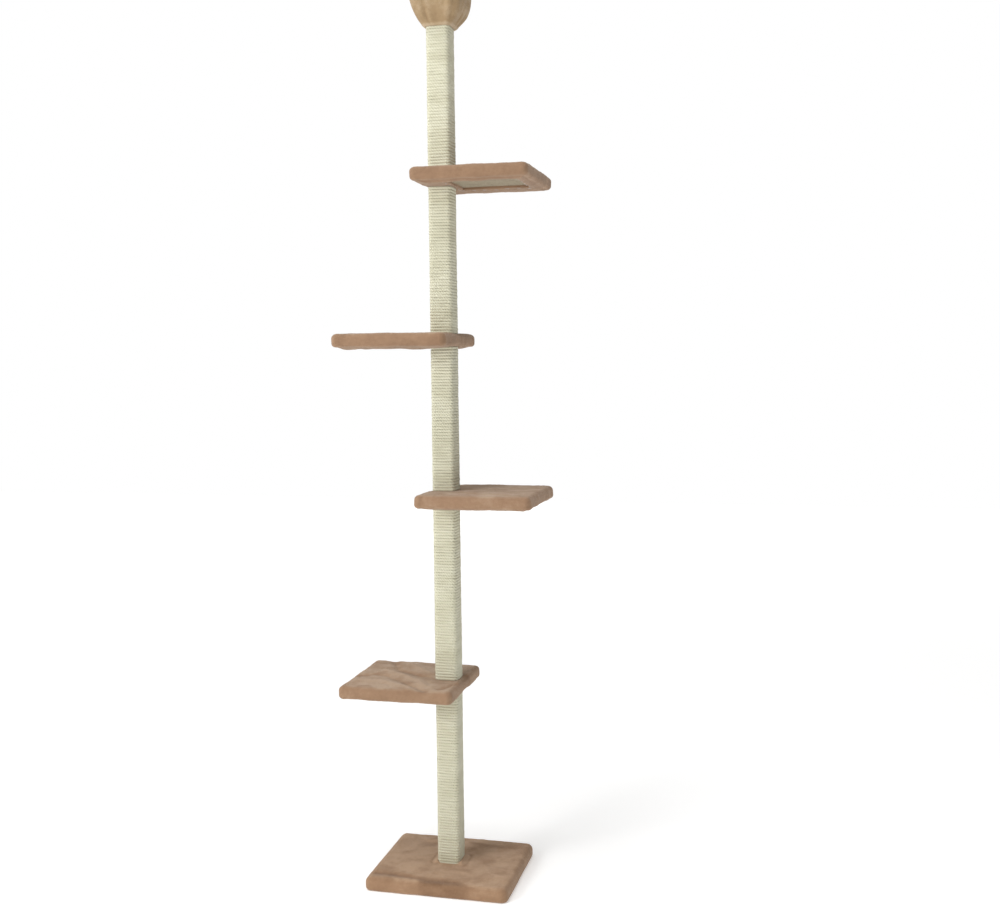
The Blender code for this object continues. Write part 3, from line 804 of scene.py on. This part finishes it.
# %% Cover the platforms
NEAR_HEM = 0.046 + POST_HALF + 0.010
WIDE_HEM = 0.100
SWEPT = (POST_HALF - POST_CORNER) * math.sqrt(2) + POST_CORNER + 0.001
LOFT, SWELL, HANG = 0.0012, 0.0022, 0.0048
covers, stapled_rings = [], []
for number, lines in WRINKLES.items():
    low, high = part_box(f"platform_{number}_cover")
    on_left = low[0] + high[0] < 0
    hems = (HEM, NEAR_HEM, WIDE_HEM, HEM) if on_left else (NEAR_HEM, HEM, HEM, WIDE_HEM)
    points, groups, across = covered_board(low, high, hems, 200 + number)
    out = normals(points, groups)
    level = (points[:, 2] - low[2]) / (high[2] - low[2])
    pressed = (level > 0.8) | (level < 0.2)
    clear = smooth_step(np.hypot(points[:, 0], points[:, 1]), SWEPT, SWEPT + 0.018)
    clear = np.where(pressed, clear, 1.0)
    on_top = smooth_step(level, 0.85, 1.0)
    wrinkle = sum(h * along_line(points, line, w, 300 + 20 * number + k)
                  for k, (line, h, w) in enumerate(lines)) * on_top
    hang = HANG * np.sin(math.pi * across) ** 0.8 * (1 + 0.5 * noise(points, 0.06, 90 + number))
    above = level > 0.03
    height = SWELL * swelling(points, 60 + 7 * number) + LOFT * above + wrinkle + hang
    height += BAGGY[number] * np.clip(out[:, 0], 0, 1) * above
    points = points + out * (height * clear)[:, None]
    name, body = f"plush_platform_{number}_cover", f"platform_{number}"
    cover = piece(name, points, groups, plush, body)
    # Painted light: the top is made lighter than the sides.
    value = lean(points, 40 + 9 * number, 0.55 + 0.45 * on_top) - 0.03 + 0.17 * on_top
    # Painted highlight on the wrinkles' ridges, painted shade in their grooves and on the border
    # underneath.
    value += 34 * wrinkle - 0.06 * (across > 0) + UPPER_TWO_DARKER[number]
    point_attribute(cover.data, "nap_and_painted_shading", value)
    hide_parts(f"platform_{number}_cover")
    covers.append(cover)
    near_cut = np.isclose(across, (BORDER_STEPS - 2) / BORDER_STEPS)
    stapled_rings.append((points[near_cut], out[near_cut]))
print("four platform covers,", [len(cover.data.vertices) for cover in covers], "points")

# %% [markdown]
# ### Zinc-plated steel
# The staples, and the screws, nuts and washers inside, are steel with a thin bright coat of zinc.
# Plain metal would look like chrome. The coat's crystals give it patches that are a little
# darker or rougher than others, so one soft noise sets both the colour and the roughness.

# %% Zinc-plated steel
steel = finish("zinc_plated_steel", (0.62, 0.63, 0.65), 0.34, Metallic=1.0)
spangle = node(steel, "TexNoise", Vector=own_place(steel, (1.0, 1.0, 4.0)),
               Scale=320.0, Detail=3.0).outputs["Fac"]
set_input(steel, "Base Color", ramp(
    steel, spangle, (0.3, (0.48, 0.49, 0.50)), (0.7, (0.70, 0.71, 0.72))))
set_input(steel, "Roughness", ramp(steel, spangle, (0.3, 0.25), (0.7, 0.48)))
bump(steel, spangle, 0.12, 0.0003)
print("steel finish", steel.name)

# %% [markdown]
# ### Staples
# The border underneath is held by a row of wire staples just outside its inner edge. Their legs
# are out of sight in the board, so each one is only a small flat bar that lies along the edge,
# half sunk in the pile. There are none where the post's lengths press on the platform.

# %% Staple the borders
STAPLE = (0.0105, 0.0013, 0.0007)
STAPLE_EVERY = 0.032
PROUD = 0.0001


def bars(places, along, up, size):
    """Boxes of a size: each corner is place + side (half length along) + side (half width
    across) + side (half height up), for the eight ways to choose the sides."""
    across = np.cross(up, along)
    square = ((-1, -1), (1, -1), (1, 1), (-1, 1))
    sides = np.array([(x, y, z) for z in (-1, 1) for x, y in square]) / 2
    axes = np.stack([along * size[0], across * size[1], up * size[2]], 1)
    points = places[:, None, :] + np.einsum("ci,nij->ncj", sides, axes)
    box = np.array([(3, 2, 1, 0), (4, 5, 6, 7), (0, 1, 5, 4),
                    (1, 2, 6, 5), (2, 3, 7, 6), (3, 0, 4, 7)])
    faces = (8 * np.arange(len(places)))[:, None, None] + box
    return points.reshape(-1, 3), faces.reshape(-1, 4)


staples = []
for number, (ring, ring_out) in enumerate(stapled_rings, 1):
    ahead_on_ring = np.roll(ring, -1, axis=0) - ring
    run = np.cumsum(np.linalg.norm(ahead_on_ring, axis=1))
    chosen = np.searchsorted(run, np.arange(STAPLE_EVERY / 2, run[-1], STAPLE_EVERY))
    chosen = chosen[np.hypot(ring[chosen, 0], ring[chosen, 1]) > SWEPT + 0.014]
    up = ring_out[chosen]
    along = ahead_on_ring[chosen] - np.einsum("ij,ij->i", ahead_on_ring[chosen], up)[:, None] * up
    along /= np.linalg.norm(along, axis=1, keepdims=True)
    points, faces = bars(ring[chosen] + PROUD * up, along, up, STAPLE)
    name, body = f"platform_{number}_staples", f"platform_{number}"
    staples.append(piece(name, points, [faces], steel, body))
print([len(o.data.polygons) // 6 for o in staples], "staples")

# %% [markdown]
# ## The bonnet
# A sleeve of plush is gathered by an elastic round the post and opens upwards over the screw, and
# its top edge folds in over the ceiling plate. A simulated sleeve would fall a little differently
# each time it is changed, so this one is a wall, a list of heights and half widths, wrapped round
# as rounded squares. Gathered cloth bunches up, so the wall is thick at the hem and thins on its
# way up. Its gathers are deep above the hem and merge in pairs as they fade.

# %% The sleeve's wall
CONTOUR = np.array([
    (0.0045, 0.0438), (0.008, 0.0462), (0.014, 0.0504), (0.022, 0.0548), (0.031, 0.0592),
    (0.041, 0.0634), (0.053, 0.0673), (0.066, 0.0701), (0.080, 0.0718), (0.096, 0.0727),
    (0.112, 0.0730), (0.122, 0.0728), (0.1275, 0.0721), (0.1305, 0.0706), (0.1322, 0.0684),
    (0.1327, 0.0655), (0.1327, 0.0625), (0.1327, 0.0597),
])
WALL, EXTRA_AT_HEM = 0.0034, 0.0052
ELASTIC_ROOM = POST_HALF + 0.0022
LIP = POST_HALF + 0.0004


def finer(line, times):
    """The same line with more points: even steps between, smoothed twice by averaging."""
    steps = np.linspace(0, len(line) - 1, (len(line) - 1) * times + 1)
    fine = np.column_stack([np.interp(steps, np.arange(len(line)), line[:, i]) for i in range(2)])
    for _ in range(2):
        fine[1:-1] = (fine[:-2] + 2 * fine[1:-1] + fine[2:]) / 4
    return fine


outside = finer(CONTOUR, 3)
slope = np.gradient(outside, axis=0)
slope /= np.hypot(*slope.T)[:, None]
thick = WALL + EXTRA_AT_HEM * (1 - smooth_step(outside[:, 0], 0.002, 0.045))
inside = outside + np.stack([slope[:, 1], -slope[:, 0]], -1) * thick[:, None]
inside[:, 1] = np.maximum(inside[:, 1], ELASTIC_ROOM)
inside[0] = (0.0070, ELASTIC_ROOM)
casing = np.array([(0.0030, ELASTIC_ROOM), (-0.0002, ELASTIC_ROOM), (-0.0004, LIP), (-0.0012, LIP)])
roll = np.linspace(0, math.pi, 9)[1:-1]
hem_half, hem_round = (outside[0, 1] + LIP) / 2, (outside[0, 1] - LIP) / 2
bottom = np.column_stack([(0.0045 * (1 + np.cos(roll)) - 0.0012 * (1 - np.cos(roll))) / 2
                          - 0.0030 * np.sin(roll), hem_half + hem_round * np.cos(roll)])
profile = np.vstack([inside[::-1], casing, bottom[::-1], outside])
print("the wall has", len(profile), "points from the fold, down inside and up outside")

# %% [markdown]
# ### Gathers
# A gather is a broad ridge between two narrow grooves, and no two are alike. The ridges push the
# wall out and the grooves draw it in, though never in past the elastic. The sleeve was pulled on
# a little askew, so it also sags fuller on its right-hand side than on its left.

# %% Gather the bonnet
BONNET_COLUMNS = 320
GATHERS = 12
SAG = 0.0048
SAG_TOWARDS = (0.92, 0.39)
hem_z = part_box("bonnet")[0][2]


def gathers(turns, count, seed):
    """Broad ridges and narrow grooves round the sleeve: (1/2 + 1/2 cos)^0.7, unevenly spaced.
    The unevenness fades out where the turn closes, so that the sleeve has no seam."""
    open_part = smooth_step(turns, 0.0, 0.06) * (1 - smooth_step(turns, 0.94, 1.0))
    phase = count * turns + 0.95 * open_part * wander(turns, 0.105, seed)
    deep = 0.70 + 0.75 * open_part * wander(turns, 0.055, seed + 1)
    return deep * (0.5 + 0.5 * np.cos(2 * math.pi * phase)) ** 0.7


turns = np.arange(BONNET_COLUMNS) / BONNET_COLUMNS
low_gathers, high_gathers = gathers(turns, GATHERS, 905), gathers(turns, GATHERS // 2, 915)
rows = []
for rise, half in profile:
    corner = half * (0.42 - 0.22 * smooth_step(rise, 0.02, 0.11))
    flat, outward, _ = rounded_square(turns, half, corner)
    faded = 1 - 0.85 * smooth_step(rise, 0.040, 0.100)
    depth = 0.0010 + 0.0040 * smooth_step(rise, 0.002, 0.020) * faded
    depth *= 1 - smooth_step(rise, 0.118, 0.130)
    merge = smooth_step(rise, 0.020, 0.075)
    fold = depth * ((1 - merge) * low_gathers + merge * high_gathers - 0.35)
    sag = smooth_step(rise, 0.006, 0.036) * (1 - smooth_step(rise, 0.050, 0.118))
    fold += SAG * np.clip(outward @ SAG_TOWARDS, 0, 1) ** 2 * sag
    flat = flat + outward * np.maximum(fold, (LIP if rise < 0 else ELASTIC_ROOM) - half)[:, None]
    rows.append(np.column_stack([flat, np.full(BONNET_COLUMNS, hem_z + rise)]))
points = np.vstack(rows)
faces = grid_faces(len(rows), BONNET_COLUMNS, wrap_rows=True, wrap_columns=True)
print("bonnet", len(points), "points, half width", np.abs(points[:, 0]).max().round(4))

# %% [markdown]
# ### The bonnet's pile, and how it moves
# Painted highlights make the colour lighter on the ridges and at the hem, and painted shade makes
# it darker in the grooves. When the screw lifts the ceiling plate, the bonnet's top goes up with
# it and its hem stays on the post, so the bonnet is put on neither body.

# %% Make the bonnet
bonnet_plush = make_plush("bonnet_plush", dark=(0.235, 0.150, 0.078),
                          middle=(0.375, 0.262, 0.148), light=(0.520, 0.400, 0.270))
bonnet = piece("gathered_bonnet", points, [faces], bonnet_plush, None)
rise = points[:, 2] - hem_z
# Painted highlight: lighter along the rolled hem.
value = lean(points, 77, 0.6) + 0.22 * (1 - smooth_step(rise, 0.001, 0.007))
higher = smooth_step(rise, 0.03, 0.09)
# Painted highlight on the gathers' ridges and painted shade in their grooves.
value += 0.16 * (np.tile(low_gathers, len(rows)) - 0.5) * (1 - higher)
value += 0.12 * (np.tile(high_gathers, len(rows)) - 0.5) * higher
point_attribute(bonnet.data, "nap_and_painted_shading", value)
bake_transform(bonnet)
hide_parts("bonnet")
print("made", bonnet.name)

# %% [markdown]
# ## Finishes of the pieces underneath
# The other pieces show in the gaps, under the platforms and when the tree is taken apart. Chipboard
# is flakes of wood pressed with glue: cells for the flakes, with darker dust between.

# %% Chipboard
board = finish("particle_board", (0.30, 0.22, 0.14), 0.85, Specular_IOR_Level=0.25)
chips = node(board, "TexVoronoi", Vector=own_place(board, (1.0, 1.6, 1.0)),
             Scale=240.0, Randomness=1.0).outputs["Distance"]
dust = node(board, "TexNoise", Vector=own_place(board), Scale=60.0, Detail=5.0).outputs["Fac"]
set_input(board, "Base Color", ramp(
    board, scaled_sum(board, dust, 0.7, chips),
    (0.30, (0.125, 0.098, 0.064)), (0.62, (0.225, 0.185, 0.125)), (0.92, (0.34, 0.285, 0.20))))
bump(board, chips, 0.35, 0.0006)
print("board finish", board.name)

# %% [markdown]
# ### Paper tube
# The tubes are wound from strips of brown paper, so slanting ridges run round them.

# %% Paper tube
tube = finish("paper_tube", (0.42, 0.31, 0.20), 0.8)
wraps = node(tube, "TexWave", {"bands_direction": "DIAGONAL"}, Vector=own_place(tube),
             Scale=9.0, Distortion=0.6, Detail=2.0).outputs["Fac"]
pulp = node(tube, "TexNoise", Vector=own_place(tube), Scale=240.0, Detail=4.0).outputs["Fac"]
set_input(tube, "Base Color", ramp(
    tube, pulp, (0.3, (0.33, 0.235, 0.145)), (0.7, (0.49, 0.375, 0.25))))
bump(tube, wraps, 0.25, 0.0005)
print("tube finish", tube.name)

# %% [markdown]
# ### Pine plugs
# Pine shows its growth rings, stretched out along the grain, which runs up the post.

# %% Pine plugs
pine = finish("pine_plug", (0.55, 0.38, 0.21), 0.6)
grain = node(pine, "TexWave", {"wave_type": "RINGS"}, Vector=own_place(pine, (1.0, 1.0, 0.15)),
             Scale=55.0, Distortion=3.0, Detail=3.0).outputs["Fac"]
set_input(pine, "Base Color", ramp(
    pine, grain, (0.2, (0.62, 0.44, 0.25)), (0.85, (0.43, 0.27, 0.13))))
bump(pine, grain, 0.2, 0.0004)
print("plug finish", pine.name)

# %% [markdown]
# ### Rubber and elastic
# The pad that grips the ceiling is black rubber with a pattern of small studs. The elastic in the
# bonnet's hem is woven with ribs across it, which a wave makes more simply than threads would.

# %% Rubber and elastic
rubber = finish("pad_rubber", (0.025, 0.025, 0.027), 0.75)
studs = node(rubber, "TexVoronoi", Vector=own_place(rubber),
             Scale=260.0, Randomness=0.15).outputs["Distance"]
set_input(rubber, "Base Color", ramp(
    rubber, studs, (0.1, (0.020, 0.020, 0.022)), (0.8, (0.045, 0.045, 0.048))))
bump(rubber, studs, 0.5, 0.0008)

elastic = finish("woven_elastic", (0.58, 0.54, 0.48), 0.85, Sheen_Weight=0.2)
ribs = node(elastic, "TexWave", {"bands_direction": "Z"}, Vector=own_place(elastic),
            Scale=260.0, Distortion=0.4).outputs["Fac"]
set_input(elastic, "Base Color", ramp(
    elastic, ribs, (0.2, (0.40, 0.37, 0.32)), (0.8, (0.66, 0.62, 0.56))))
bump(elastic, ribs, 0.5, 0.0005)
print("pad and hem finishes", rubber.name, elastic.name)

# %% [markdown]
# ### Giving them out
# Each piece came in with the name of the material it is made of, and takes the finish of that
# name. Working by name is safer than by hand where there are dozens of pieces.

# %% Give each hard piece its finish
FINISH_OF_SLOT = {
    "plush": plush, "sisal": sisal, "particle_board": board, "paper_tube": tube,
    "plug_wood": pine, "zinc_steel": steel, "pad_rubber": rubber, "elastic": elastic,
}
hard = [o for o in scene.objects if "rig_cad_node" in o and o.type == "MESH"]
for o in hard:
    for i, old in enumerate(o.data.materials):
        slot = old.name.split(".")[0]
        if slot in FINISH_OF_SLOT:
            o.data.materials[i] = FINISH_OF_SLOT[slot]
print(len(hard), "hard pieces finished")
